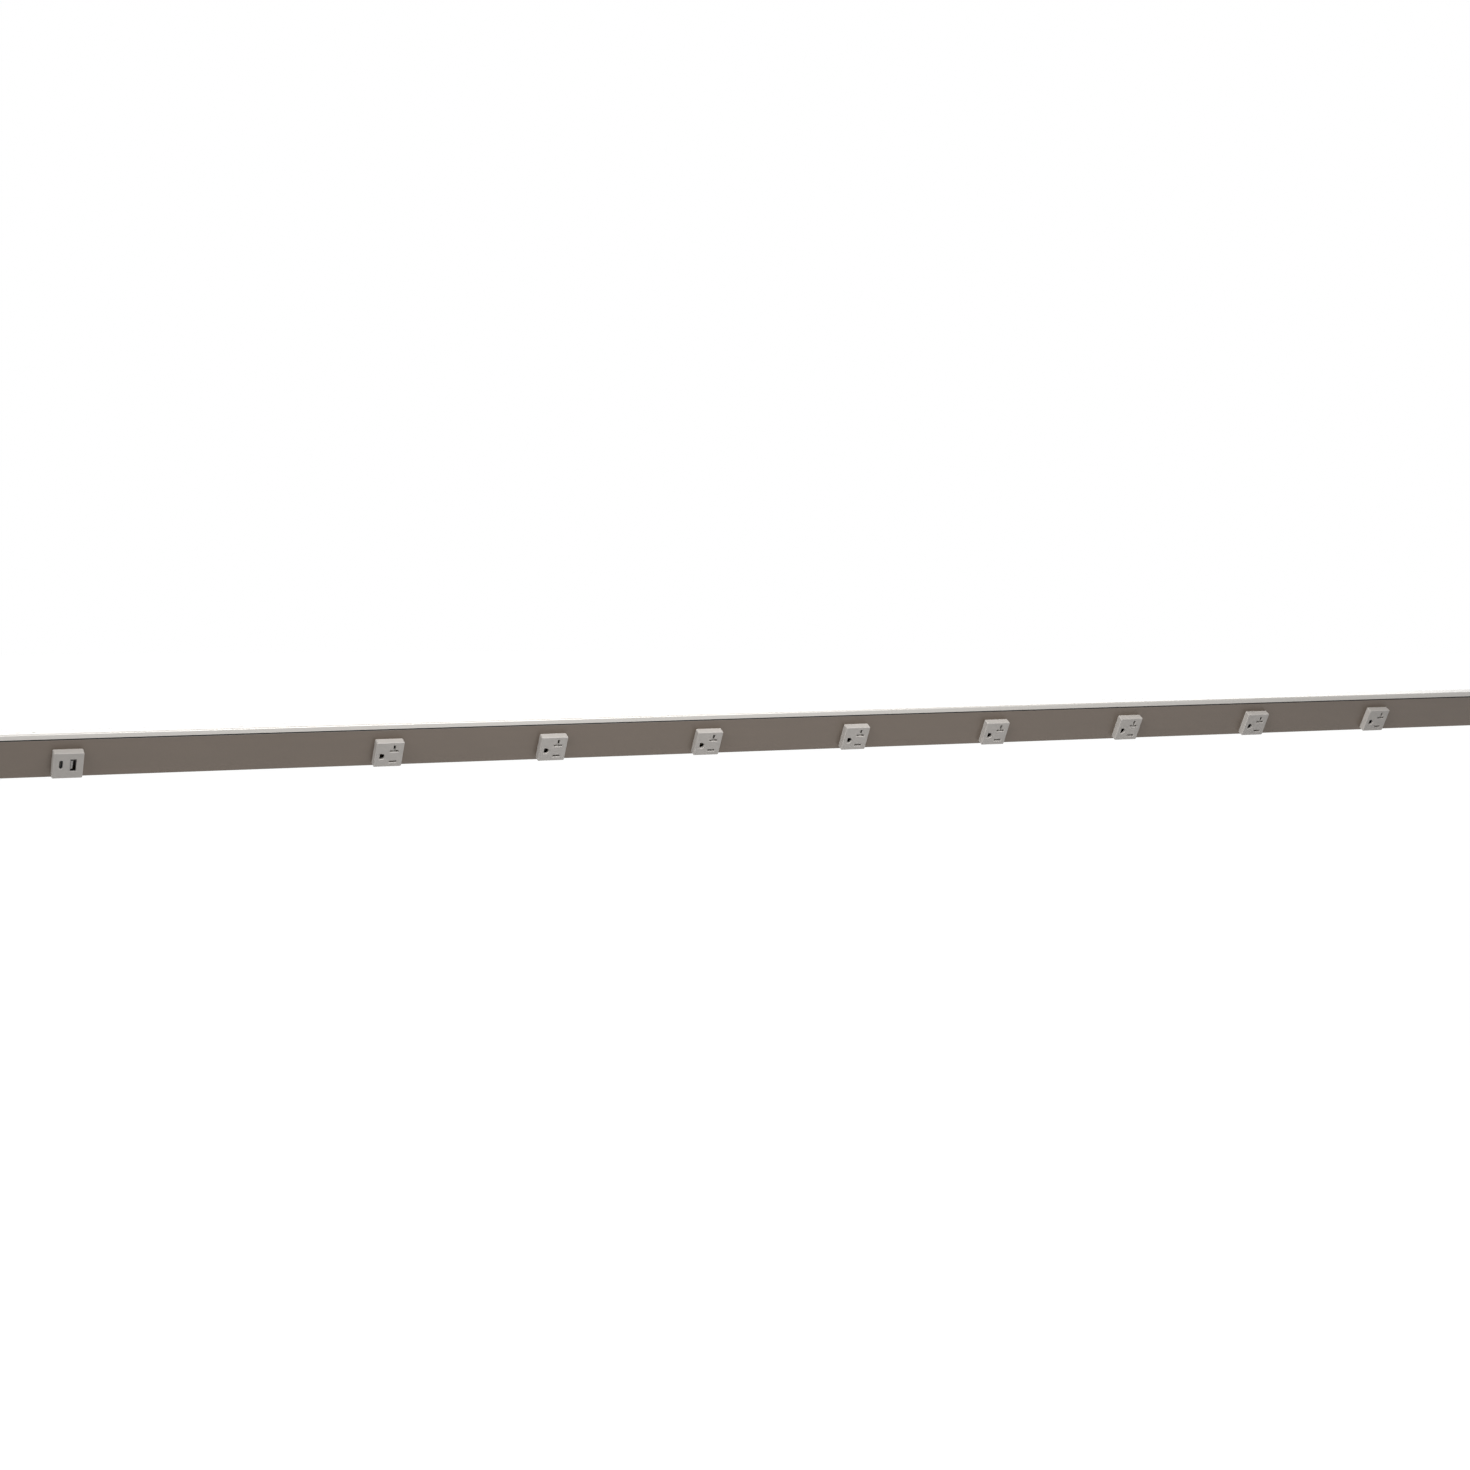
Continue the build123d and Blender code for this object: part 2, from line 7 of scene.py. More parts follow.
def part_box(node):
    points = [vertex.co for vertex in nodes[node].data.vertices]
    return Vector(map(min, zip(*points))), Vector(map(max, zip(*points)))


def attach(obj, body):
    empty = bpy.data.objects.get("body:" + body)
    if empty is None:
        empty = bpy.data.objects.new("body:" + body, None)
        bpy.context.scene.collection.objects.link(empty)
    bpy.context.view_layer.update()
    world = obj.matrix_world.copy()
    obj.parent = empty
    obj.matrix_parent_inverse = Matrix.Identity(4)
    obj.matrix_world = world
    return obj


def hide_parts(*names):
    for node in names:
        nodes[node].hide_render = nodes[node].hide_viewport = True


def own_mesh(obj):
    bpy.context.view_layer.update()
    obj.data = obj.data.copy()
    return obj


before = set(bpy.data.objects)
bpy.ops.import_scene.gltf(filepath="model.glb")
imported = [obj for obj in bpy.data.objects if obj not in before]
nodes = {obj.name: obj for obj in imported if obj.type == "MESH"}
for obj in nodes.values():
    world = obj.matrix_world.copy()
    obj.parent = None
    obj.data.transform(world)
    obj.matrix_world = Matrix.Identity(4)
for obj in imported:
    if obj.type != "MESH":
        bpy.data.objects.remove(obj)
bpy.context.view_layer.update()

# Camera
# A long lens far in front of the strip's left half and a little above it, so that the strip
# climbs gently across the picture and both of its ends stay outside.
CAMERA_PLACE = (-1.2812, -2.5602, 0.1802)
CAMERA_SIGHT = (0.415, 0.9069, -0.0727)
CAMERA_LENS = 63.673
SENSOR_WIDTH = 36
FARTHEST_SEEN = 60

bpy.ops.object.camera_add(location=CAMERA_PLACE)
camera = bpy.context.object
camera.name = "camera"
sight = Vector(CAMERA_SIGHT).normalized()
level = sight.cross(Vector((0, 0, 1))).normalized()
camera.rotation_euler = Matrix((level, level.cross(sight), -sight)).transposed().to_euler()
camera.data.sensor_width = SENSOR_WIDTH
camera.data.lens = CAMERA_LENS
camera.data.clip_end = FARTHEST_SEEN
bpy.context.scene.camera = camera
bpy.context.scene.view_settings.view_transform = "Standard"

# Floor, backdrop and lamps
# A pale matt floor well below the hanging strip, clear from underneath, and a white surround that
# fills the shadows. One large soft lamp hangs in front and above, one stands far to the left, one
# hangs overhead and one behind.
FLOOR_LEVEL = -0.95
FLOOR_RADIUS = 25
FLOOR_COLOUR = (0.8, 0.8, 0.8, 1)
FLOOR_PATCHES = (0.84, 0.84, 0.84, 1)
FLOOR_PATCH_SCALE = 3
FLOOR_ROUGHNESS = 0.9
FLOOR_GLOW = 1.16
FLOOR_GLOW_SHARE = 0.85
WHITE = (1, 1, 1, 1)
SURROUND_LIGHT = 0.1
SURROUND_SEEN = 1


def in_plain_sight(tree):
    """One for camera, glossy and transmission rays, and nought for the rays that only light."""
    rays = tree.nodes.new("ShaderNodeLightPath")
    seen = tree.nodes.new("ShaderNodeMath")
    seen.operation = "MAXIMUM"
    tree.links.new(rays.outputs["Is Camera Ray"], seen.inputs[0])
    tree.links.new(rays.outputs["Is Glossy Ray"], seen.inputs[1])
    through = tree.nodes.new("ShaderNodeMath")
    through.operation = "MAXIMUM"
    tree.links.new(seen.outputs[0], through.inputs[0])
    tree.links.new(rays.outputs["Is Transmission Ray"], through.inputs[1])
    return through.outputs[0]


bpy.ops.object.select_all(action="DESELECT")
bpy.ops.mesh.primitive_circle_add(
    vertices=96, radius=FLOOR_RADIUS, fill_type="NGON", location=(0, 0, FLOOR_LEVEL)
)
floor = bpy.context.object
floor.name = "floor"
bpy.ops.object.transform_apply(location=True)
floor_paint = bpy.data.materials.new("floor_paint")
floor_paint.use_nodes = True
tree = floor_paint.node_tree
matt = tree.nodes["Principled BSDF"]
matt.inputs["Roughness"].default_value = FLOOR_ROUGHNESS
mottle = tree.nodes.new("ShaderNodeTexNoise")
mottle.inputs["Scale"].default_value = FLOOR_PATCH_SCALE
shade = tree.nodes.new("ShaderNodeMix")
shade.data_type = "RGBA"
shade.inputs["A"].default_value = FLOOR_COLOUR
shade.inputs["B"].default_value = FLOOR_PATCHES
tree.links.new(mottle.outputs["Fac"], shade.inputs["Factor"])
tree.links.new(shade.outputs["Result"], matt.inputs["Base Color"])
glow = tree.nodes.new("ShaderNodeEmission")
glow.inputs["Strength"].default_value = FLOOR_GLOW
share = tree.nodes.new("ShaderNodeMath")
share.operation = "MULTIPLY"
share.inputs[1].default_value = FLOOR_GLOW_SHARE
tree.links.new(in_plain_sight(tree), share.inputs[0])
lit = tree.nodes.new("ShaderNodeMixShader")
tree.links.new(share.outputs[0], lit.inputs["Fac"])
tree.links.new(matt.outputs["BSDF"], lit.inputs[1])
tree.links.new(glow.outputs["Emission"], lit.inputs[2])
side = tree.nodes.new("ShaderNodeNewGeometry")
clear = tree.nodes.new("ShaderNodeBsdfTransparent")
one_way = tree.nodes.new("ShaderNodeMixShader")
tree.links.new(side.outputs["Backfacing"], one_way.inputs["Fac"])
tree.links.new(lit.outputs["Shader"], one_way.inputs[1])
tree.links.new(clear.outputs["BSDF"], one_way.inputs[2])
tree.links.new(one_way.outputs["Shader"], tree.nodes["Material Output"].inputs["Surface"])
floor.data.materials.append(floor_paint)

world = bpy.context.scene.world or bpy.data.worlds.new("surround")
bpy.context.scene.world = world
world.use_nodes = True
tree = world.node_tree
fill = tree.nodes["Background"]
fill.inputs["Color"].default_value = WHITE
fill.inputs["Strength"].default_value = SURROUND_LIGHT
backdrop = tree.nodes.new("ShaderNodeBackground")
backdrop.inputs["Color"].default_value = WHITE
backdrop.inputs["Strength"].default_value = SURROUND_SEEN
mix = tree.nodes.new("ShaderNodeMixShader")
tree.links.new(in_plain_sight(tree), mix.inputs["Fac"])
tree.links.new(fill.outputs["Background"], mix.inputs[1])
tree.links.new(backdrop.outputs["Background"], mix.inputs[2])
tree.links.new(mix.outputs["Shader"], tree.nodes["World Output"].inputs["Surface"])


def softbox(name, place, target, width, height, watts):
    """A large soft lamp turned towards a point."""
    bpy.ops.object.light_add(type="AREA", location=place)
    lamp = bpy.context.object
    lamp.name = name
    lamp.data.shape = "RECTANGLE"
    lamp.data.size = width
    lamp.data.size_y = height
    lamp.data.energy = watts
    lamp.rotation_euler = (Vector(target) - Vector(place)).to_track_quat("-Z", "Y").to_euler()


softbox("front_lamp", (-0.1, -0.77, 0.72), (-0.1, 0, 0), width=1.2, height=0.6, watts=14.5)
softbox("left_lamp", (-4.4, -2.6, 2.6), (-0.1, 0, 0), width=3.0, height=2.4, watts=140)
softbox("top_lamp", (0.1, 0.35, 1.6), (0, 0, 0), width=2.8, height=1.2, watts=6)
softbox("back_lamp", (0.4, 1.9, 0.9), (0.2, 0, 0), width=4.0, height=1.2, watts=27)


# Back channel and end caps
# One extrusion of satin aluminium: the bright lip along the top, the top wall and the back wall.
# Each end is closed by a plate of the same metal, held by two screws in the extrusion's ports.
CHANNEL_COLOUR = (0.5, 0.48, 0.453)
CHANNEL_SHADE = (0.465, 0.447, 0.422)
GRAIN_DETAIL = 4.0
PATCH_DETAIL = 1.5
RELIEF_STRENGTH = 0.6


def surface_grain():
    """Fine grain and slow patches, both read where the piece lies."""
    group = bpy.data.node_groups.new("surface_grain", "ShaderNodeTree")
    sockets = (("Stretch", "Vector"), ("Grain Scale", "Float"), ("Patch Scale", "Float"))
    for name, kind in sockets:
        group.interface.new_socket(name, in_out="INPUT", socket_type="NodeSocket" + kind)
    for name in ("Grain", "Patch"):
        group.interface.new_socket(name, in_out="OUTPUT", socket_type="NodeSocketFloat")
    given = group.nodes.new("NodeGroupInput")
    made = group.nodes.new("NodeGroupOutput")
    place = group.nodes.new("ShaderNodeTexCoord")
    stretch = group.nodes.new("ShaderNodeMapping")
    group.links.new(place.outputs["Object"], stretch.inputs["Vector"])
    group.links.new(given.outputs["Stretch"], stretch.inputs["Scale"])
    for name, detail in (("Grain", GRAIN_DETAIL), ("Patch", PATCH_DETAIL)):
        noise = group.nodes.new("ShaderNodeTexNoise")
        noise.inputs["Detail"].default_value = detail
        group.links.new(stretch.outputs["Vector"], noise.inputs["Vector"])
        group.links.new(given.outputs[name + " Scale"], noise.inputs["Scale"])
        group.links.new(noise.outputs["Fac"], made.inputs[name])
    return group


GRAIN = surface_grain()


def finish(
    name, colour, shade, roughness, grain, patches, relief, stretch=(1, 1, 1), metallic=0.0
):
    """A surface whose colour drifts in slow patches and whose grain breaks up its gloss.

    Grain and patches are scales per metre, relief is the grain's depth in metres, and a stretch
    under one along an axis draws both out along it.
    """
    material = bpy.data.materials.new(name)
    material.use_nodes = True
    tree = material.node_tree
    shader = tree.nodes["Principled BSDF"]
    shader.inputs["Metallic"].default_value = metallic
    skin = tree.nodes.new("ShaderNodeGroup")
    skin.node_tree = GRAIN
    skin.inputs["Stretch"].default_value = stretch
    skin.inputs["Grain Scale"].default_value = grain
    skin.inputs["Patch Scale"].default_value = patches
    tint = tree.nodes.new("ShaderNodeMix")
    tint.data_type = "RGBA"
    tint.inputs["A"].default_value = (*shade, 1)
    tint.inputs["B"].default_value = (*colour, 1)
    tree.links.new(skin.outputs["Patch"], tint.inputs["Factor"])
    tree.links.new(tint.outputs["Result"], shader.inputs["Base Color"])
    gloss = tree.nodes.new("ShaderNodeMapRange")
    gloss.inputs["To Min"].default_value = roughness[0]
    gloss.inputs["To Max"].default_value = roughness[1]
    tree.links.new(skin.outputs["Grain"], gloss.inputs["Value"])
    tree.links.new(gloss.outputs["Result"], shader.inputs["Roughness"])
    bump = tree.nodes.new("ShaderNodeBump")
    bump.inputs["Distance"].default_value = relief
    bump.inputs["Strength"].default_value = RELIEF_STRENGTH
    tree.links.new(skin.outputs["Grain"], bump.inputs["Height"])
    tree.links.new(bump.outputs["Normal"], shader.inputs["Normal"])
    return material


def dress(material, *names):
    """Gives CAD nodes their finish."""
    for name in names:
        nodes[name].data.materials.clear()
        nodes[name].data.materials.append(material)


satin_aluminium = finish(
    "satin_aluminium", CHANNEL_COLOUR, CHANNEL_SHADE, roughness=(0.36, 0.46),
    grain=1800, patches=160, relief=0.00001, stretch=(0.02, 1, 1), metallic=0.5,
)
dress(satin_aluminium, "base_channel", "end_cap_left", "end_cap_right")

# Snap-on cover
# A bent aluminium cover with a baked satin taupe finish. Its sloping face carries the modules, and
# the finish has a soft sheen with a slow drift of tint along the strip. The hook behind the lip and
# the cut edge beside it are painted near black as the shade in the seam under the lip.
COVER_COLOUR = (0.174, 0.139, 0.112)
COVER_SHADE = (0.158, 0.129, 0.104)
# Painted shade for the seam under the lip: the cover is painted near black above this level.
SEAM_SHADE_COLOUR = (0.02, 0.019, 0.018)
SEAM_SHADE_LEVEL = -0.0068
SEAM_SHADE_FADE = 0.00015

satin_taupe = finish(
    "satin_taupe", COVER_COLOUR, COVER_SHADE, roughness=(0.34, 0.46),
    grain=1500, patches=90, relief=0.00002, stretch=(0.12, 1, 1), metallic=0.2,
)
tree = satin_taupe.node_tree
cover_shader = tree.nodes["Principled BSDF"]
baked = cover_shader.inputs["Base Color"].links[0].from_socket
place = tree.nodes.new("ShaderNodeTexCoord")
split = tree.nodes.new("ShaderNodeSeparateXYZ")
tree.links.new(place.outputs["Object"], split.inputs["Vector"])
seam_shade_mask = tree.nodes.new("ShaderNodeMapRange")
seam_shade_mask.interpolation_type = "SMOOTHSTEP"
seam_shade_mask.inputs["From Min"].default_value = SEAM_SHADE_LEVEL - SEAM_SHADE_FADE
seam_shade_mask.inputs["From Max"].default_value = SEAM_SHADE_LEVEL + SEAM_SHADE_FADE
tree.links.new(split.outputs["Z"], seam_shade_mask.inputs["Value"])
# Painted shade: the mask swaps the finish for near black above the seam level.
seam_shade_paint = tree.nodes.new("ShaderNodeMix")
seam_shade_paint.data_type = "RGBA"
seam_shade_paint.inputs["B"].default_value = (*SEAM_SHADE_COLOUR, 1)
tree.links.new(seam_shade_mask.outputs["Result"], seam_shade_paint.inputs["Factor"])
tree.links.new(baked, seam_shade_paint.inputs["A"])
tree.links.new(seam_shade_paint.outputs["Result"], cover_shader.inputs["Base Color"])
dress(satin_taupe, "front_cover")

# Module fronts
# Square blocks moulded in pale warm grey plastic with a fine even texture. They snap over the
# module bodies and stand proud of the cover.
FRONT_COLOUR = (0.435, 0.409, 0.383)
FRONT_SHADE = (0.404, 0.383, 0.36)
OUTLETS = 8


def in_each_outlet(stem):
    """The names of one kind of piece in all the outlets."""
    return [f"{stem}_{i + 1}" for i in range(OUTLETS)]


grey_plastic = finish(
    "grey_plastic", FRONT_COLOUR, FRONT_SHADE, roughness=(0.42, 0.55),
    grain=5200, patches=120, relief=0.000015,
)
dress(grey_plastic, "usb_face", *in_each_outlet("receptacle_face"))

# Shutters
# Pale plates moulded in smooth plastic. Each closes the two slots of its front from behind and
# slides down the slope between the body's rails.
shutter_plastic = finish(
    "shutter_plastic", (0.76, 0.74, 0.7), (0.72, 0.7, 0.66), roughness=(0.35, 0.45),
    grain=3000, patches=200, relief=0.000008,
)
dress(shutter_plastic, *in_each_outlet("shutter"))

# Shutter springs
# Hard steel strip with four rounded folds, standing on edge between the body's post and the
# shutter. In the real strip a spring is pressed together towards its post as its shutter slides
# down; here each is fixed to the strip in its rest shape. The sizes are in a module's own frame:
# X along the strip, Y up the slope, Z out of the cover's face.
SLOPE = math.radians(30)
MODULE_Y = -0.00965
MODULE_Z = -0.0285238
FIRST_OUTLET = -0.504
PITCH = 0.1778
SPRING_X = 0.0049
SPRING_Z = 0.0033
SPRING_LOW = -0.0025
SPRING_HIGH = 0.00185
SPRING_REACH = 0.00115
SPRING_HEIGHT = 0.0024
SPRING_WALL = 0.0002
SPRING_FOLDS = 4
SPRING_BEND = 0.0005
SPRING_BEND_STEPS = 4
SPRING_SMOOTH = math.radians(40)

spring_steel = finish(
    "spring_steel", (0.62, 0.62, 0.62), (0.5, 0.5, 0.5), roughness=(0.2, 0.34),
    grain=4000, patches=400, relief=0.000005, stretch=(1, 0.1, 0.1), metallic=1.0,
)


def module_place(x):
    """Where a module sits, from its own frame to the strip's."""
    return Matrix(
        (
            (1, 0, 0, x),
            (0, -math.sin(SLOPE), -math.cos(SLOPE), MODULE_Y),
            (0, math.cos(SLOPE), -math.sin(SLOPE), MODULE_Z),
            (0, 0, 0, 1),
        )
    )


def apply_modifier(piece, kind, **settings):
    """Adds a modifier to the active piece and applies it."""
    bpy.ops.object.modifier_add(type=kind)
    modifier = piece.modifiers[-1]
    for name, value in settings.items():
        setattr(modifier, name, value)
    bpy.ops.object.modifier_apply(modifier=modifier.name)


def placed_copy(pattern, name, place):
    """A copy of a pattern with its own mesh, moved to its place."""
    copy = bpy.data.objects.new(name, pattern.data.copy())
    bpy.context.collection.objects.link(copy)
    copy.data.transform(place)
    return copy


def fit_out(piece, material):
    """Gives a finished piece its material and fixes it to the strip."""
    piece.data.materials.clear()
    piece.data.materials.append(material)
    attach(piece, "strip")


bpy.ops.object.select_all(action="DESELECT")
bpy.ops.mesh.primitive_plane_add(
    size=1, location=(SPRING_X, SPRING_LOW, SPRING_Z), rotation=(math.pi / 2, 0, 0)
)
spring = bpy.context.object
spring.scale = (2 * SPRING_REACH, SPRING_HEIGHT, 1)
bpy.ops.object.transform_apply(location=True, rotation=True, scale=True)
for vertex in spring.data.vertices:
    vertex.select = vertex.co.x > SPRING_X
for edge in spring.data.edges:
    edge.select = all(spring.data.vertices[i].select for i in edge.vertices)
for face in spring.data.polygons:
    face.select = False
bpy.ops.object.mode_set(mode="EDIT")
bpy.ops.mesh.select_mode(type="EDGE")
for fold in range(SPRING_FOLDS + 1):
    across = (-2 if fold % 2 == 0 else 2) * SPRING_REACH
    up = 0 if fold == SPRING_FOLDS else (SPRING_HIGH - SPRING_LOW) / SPRING_FOLDS
    bpy.ops.mesh.extrude_region_move(TRANSFORM_OT_translate={"value": (across, up, 0)})
bpy.ops.object.mode_set(mode="OBJECT")
apply_modifier(
    spring, "BEVEL", width=SPRING_BEND, segments=SPRING_BEND_STEPS, limit_method="ANGLE"
)
apply_modifier(spring, "SOLIDIFY", thickness=SPRING_WALL, offset=0)
bpy.ops.object.shade_smooth_by_angle(angle=SPRING_SMOOTH)

for i in range(OUTLETS):
    place = module_place(FIRST_OUTLET + i * PITCH)
    copy = placed_copy(spring, f"spring_strip_{i + 1}", place)
    fit_out(copy, spring_steel)
    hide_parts(f"shutter_spring_{i + 1}")
    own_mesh(copy)
bpy.data.objects.remove(spring)

# Module bodies
# Deep blocks moulded in black plastic with a dull, slightly uneven skin. They reach through the
# cover, carry the fronts and grip the supply wires.
body_plastic = finish(
    "body_plastic", (0.045, 0.045, 0.047), (0.03, 0.03, 0.032), roughness=(0.4, 0.6),
    grain=2600, patches=90, relief=0.00003,
)
dress(body_plastic, "usb_body", *in_each_outlet("receptacle_body"))

# Contacts
# Rolled brass strip, bent into sprung jaws, with faint rolling lines and a little tarnish. The
# jaws sit in the bodies, and their notched tails straddle the supply wires.
brass = finish(
    "brass", (0.78, 0.58, 0.27), (0.6, 0.43, 0.19), roughness=(0.22, 0.38),
    grain=3000, patches=350, relief=0.00001, stretch=(0.2, 1, 1), metallic=1.0,
)
dress(brass, "usb_mains_taps", *in_each_outlet("contacts"))

# Supply wires
# Three insulated conductors along the whole strip: black, white and green, with the glossy,
# faintly wavy skin of extruded insulation.
for node, name, colour, shade in (
    ("hot_wire", "black_wire", (0.03, 0.03, 0.03), (0.02, 0.02, 0.02)),
    ("neutral_wire", "white_wire", (0.78, 0.78, 0.75), (0.7, 0.7, 0.67)),
    ("ground_wire", "green_wire", (0.03, 0.27, 0.09), (0.02, 0.2, 0.07)),
):
    insulation = finish(
        name, colour, shade, roughness=(0.28, 0.4),
        grain=900, patches=40, relief=0.00003, stretch=(0.1, 1, 1),
    )
    dress(insulation, node)

# USB charging parts
# A green circuit board with a ferrite transformer and a sleeved capacitor behind it, and two port
# shells of steel in front of it, each with a moulded tongue. The shells' steel is painted dark as
# painted shade for the insides of the ports.
circuit_board = finish(
    "circuit_board", (0.03, 0.2, 0.08), (0.02, 0.15, 0.06), roughness=(0.25, 0.4),
    grain=1500, patches=500, relief=0.00001,
)
# Painted shade: the port steel is dark so that the insides of the ports read as shade.
port_steel = finish(
    "port_steel", (0.14, 0.135, 0.13), (0.1, 0.098, 0.095), roughness=(0.25, 0.4),
    grain=3000, patches=300, relief=0.000005, stretch=(1, 1, 0.1), metallic=1.0,
)
black_plastic = finish(
    "black_plastic", (0.025, 0.025, 0.025), (0.018, 0.018, 0.018), roughness=(0.4, 0.5),
    grain=4000, patches=300, relief=0.000008,
)
tongue_plastic = finish(
    "tongue_plastic", (0.4, 0.39, 0.375), (0.36, 0.35, 0.34), roughness=(0.35, 0.45),
    grain=4000, patches=300, relief=0.000008,
)
ferrite = finish(
    "ferrite", (0.09, 0.09, 0.09), (0.06, 0.06, 0.06), roughness=(0.5, 0.7),
    grain=3000, patches=300, relief=0.00004,
)
can_sleeve = finish(
    "can_sleeve", (0.03, 0.04, 0.12), (0.02, 0.03, 0.09), roughness=(0.2, 0.3),
    grain=1000, patches=200, relief=0.00001,
)
dress(circuit_board, "usb_circuit_board")
dress(port_steel, "usb_c_shell", "usb_a_shell")
dress(black_plastic, "usb_c_tongue")
dress(tongue_plastic, "usb_a_tongue")
dress(ferrite, "usb_transformer")
dress(can_sleeve, "usb_capacitor")

# USB contacts
# Gilded springs stamped from thin strip. Four broad ones lie on the rectangular port's tongue, and
# twelve narrow ones on each side of the oval port's tongue.
USB_X = -0.8255
USB_PLACE = module_place(USB_X)
BROAD_ROWS = (-0.003, -0.0005, 0.0015, 0.004)
BROAD_HALF_WIDTH = 0.0005
BROAD_BACK = 0.00435
BROAD_FRONT = 0.00447
BROAD_LOW = -0.001
BROAD_HIGH = 0.0058
BROAD_ROUNDING = 0.00005
NARROW_COUNT = 12
NARROW_PITCH = 0.0005
NARROW_MIDDLE = 0.0014
NARROW_HALF_WIDTH = 0.000125
NARROW_WALL = 0.00005
NARROW_LOW = 0.001
NARROW_HIGH = 0.006
NARROW_ROUNDING = 0.00001
OVAL_TONGUE_X = -0.0069
OVAL_TONGUE_HALF = 0.00035

gilding = finish(
    "gilding", (0.86, 0.62, 0.25), (0.78, 0.55, 0.2), roughness=(0.18, 0.28),
    grain=3000, patches=500, relief=0.000003, metallic=1.0,
)


def block(low, high, rounding):
    """A block between two corners with softly rounded edges."""
    bpy.ops.object.select_all(action="DESELECT")
    size = [b - a for a, b in zip(low, high)]
    middle = [(a + b) / 2 for a, b in zip(low, high)]
    bpy.ops.mesh.primitive_cube_add(size=1, location=middle, scale=size)
    piece = bpy.context.object
    bpy.ops.object.transform_apply(location=True, rotation=True, scale=True)
    apply_modifier(piece, "BEVEL", width=rounding, segments=2)
    return piece


def joined(name, pieces):
    """One or several pieces as one mesh."""
    bpy.ops.object.select_all(action="DESELECT")
    for piece in pieces:
        piece.select_set(True)
    bpy.context.view_layer.objects.active = pieces[0]
    if len(pieces) > 1:
        bpy.ops.object.join()
    whole = bpy.context.object
    whole.name = name
    return whole


def mount_in_usb(name, pieces, material):
    """Moves pieces from the module's own frame to the USB module, as one mesh, and fits them."""
    whole = joined(name, pieces)
    whole.data.transform(USB_PLACE)
    fit_out(whole, material)


strips = []
for y in BROAD_ROWS:
    low = (BROAD_BACK, y - BROAD_HALF_WIDTH, BROAD_LOW)
    high = (BROAD_FRONT, y + BROAD_HALF_WIDTH, BROAD_HIGH)
    strips.append(block(low, high, BROAD_ROUNDING))
mount_in_usb("usb_a_contacts", strips, gilding)

strips = []
for side in (-1, 1):
    face = OVAL_TONGUE_X + side * OVAL_TONGUE_HALF
    left, right = sorted((face, face + side * NARROW_WALL))
    for i in range(NARROW_COUNT):
        y = NARROW_MIDDLE + (i - (NARROW_COUNT - 1) / 2) * NARROW_PITCH
        low = (left, y - NARROW_HALF_WIDTH, NARROW_LOW)
        high = (right, y + NARROW_HALF_WIDTH, NARROW_HIGH)
        strips.append(block(low, high, NARROW_ROUNDING))
mount_in_usb("usb_c_contacts", strips, gilding)

# Small parts on the circuit board
# A moulded controller chip with tinned legs and four chip capacitors, soldered to the board's
# front between the two ports and the edge.
BOARD_FRONT = -0.0032
CHIP_LOW = (-0.0035, -0.0098)
CHIP_HIGH = (0.0015, -0.0068)
CHIP_HEIGHT = 0.0014
CHIP_ROUNDING = 0.00012
LEGS_A_SIDE = 4
LEG_START = -0.0031
LEG_PITCH = 0.00127
LEG_WIDTH = 0.0004
LEG_LENGTH = 0.0005
LEG_HEIGHT = 0.0006
LEG_ROWS = (-0.0103, -0.0068)
LEG_ROUNDING = 0.00005
CAPACITORS = 4
CAPACITOR_START = -0.0045
CAPACITOR_PITCH = 0.0026
CAPACITOR_LENGTH = 0.002
CAPACITOR_SIDES = (0.0082, 0.0092)
CAPACITOR_HEIGHT = 0.0009
END_LENGTH = 0.0004
END_SIDES = (0.0081, 0.0093)
END_HEIGHT = 0.00095
CAPACITOR_ROUNDING = 0.00006

chip_black = finish(
    "chip_black", (0.03, 0.03, 0.032), (0.02, 0.02, 0.022), roughness=(0.45, 0.6),
    grain=5000, patches=400, relief=0.000005,
)
tin = finish(
    "tin", (0.7, 0.7, 0.69), (0.6, 0.6, 0.59), roughness=(0.25, 0.4),
    grain=5000, patches=400, relief=0.000004, metallic=1.0,
)
ceramic = finish(
    "ceramic", (0.42, 0.3, 0.18), (0.36, 0.25, 0.15), roughness=(0.4, 0.5),
    grain=6000, patches=600, relief=0.000003,
)


def on_board(left, right, sides, height, rounding):
    """A block that stands on the board's front, between two places along it."""
    low = (left, sides[0], BOARD_FRONT)
    high = (right, sides[1], BOARD_FRONT + height)
    return block(low, high, rounding)


chip = on_board(
    CHIP_LOW[0], CHIP_HIGH[0], (CHIP_LOW[1], CHIP_HIGH[1]), CHIP_HEIGHT, CHIP_ROUNDING
)
mount_in_usb("controller_chip", [chip], chip_black)

legs = []
for i in range(LEGS_A_SIDE):
    x = LEG_START + i * LEG_PITCH
    for y in LEG_ROWS:
        legs.append(on_board(x, x + LEG_WIDTH, (y, y + LEG_LENGTH), LEG_HEIGHT, LEG_ROUNDING))
mount_in_usb("chip_legs", legs, tin)

bodies = []
ends = []
for i in range(CAPACITORS):
    left = CAPACITOR_START + i * CAPACITOR_PITCH
    right = left + CAPACITOR_LENGTH
    bodies.append(
        on_board(
            left + END_LENGTH, right - END_LENGTH, CAPACITOR_SIDES, CAPACITOR_HEIGHT,
            CAPACITOR_ROUNDING,
        )
    )
    for x in (left, right - END_LENGTH):
        ends.append(on_board(x, x + END_LENGTH, END_SIDES, END_HEIGHT, CAPACITOR_ROUNDING))
mount_in_usb("chip_capacitors", bodies, ceramic)
mount_in_usb("capacitor_ends", ends, tin)

# Bare conductor ends
# At the left end each supply wire is stripped for its splice: six strands of bright copper round a
# seventh stand out of the insulation.
STRAND_RADIUS = 0.00035
STRAND_LENGTH = 0.006
STRAND_SPACING = 2.05 * STRAND_RADIUS
STRAND_CHAMFER = 0.00008
STRANDS_AROUND = 6
STRAND_SMOOTH = math.radians(35)

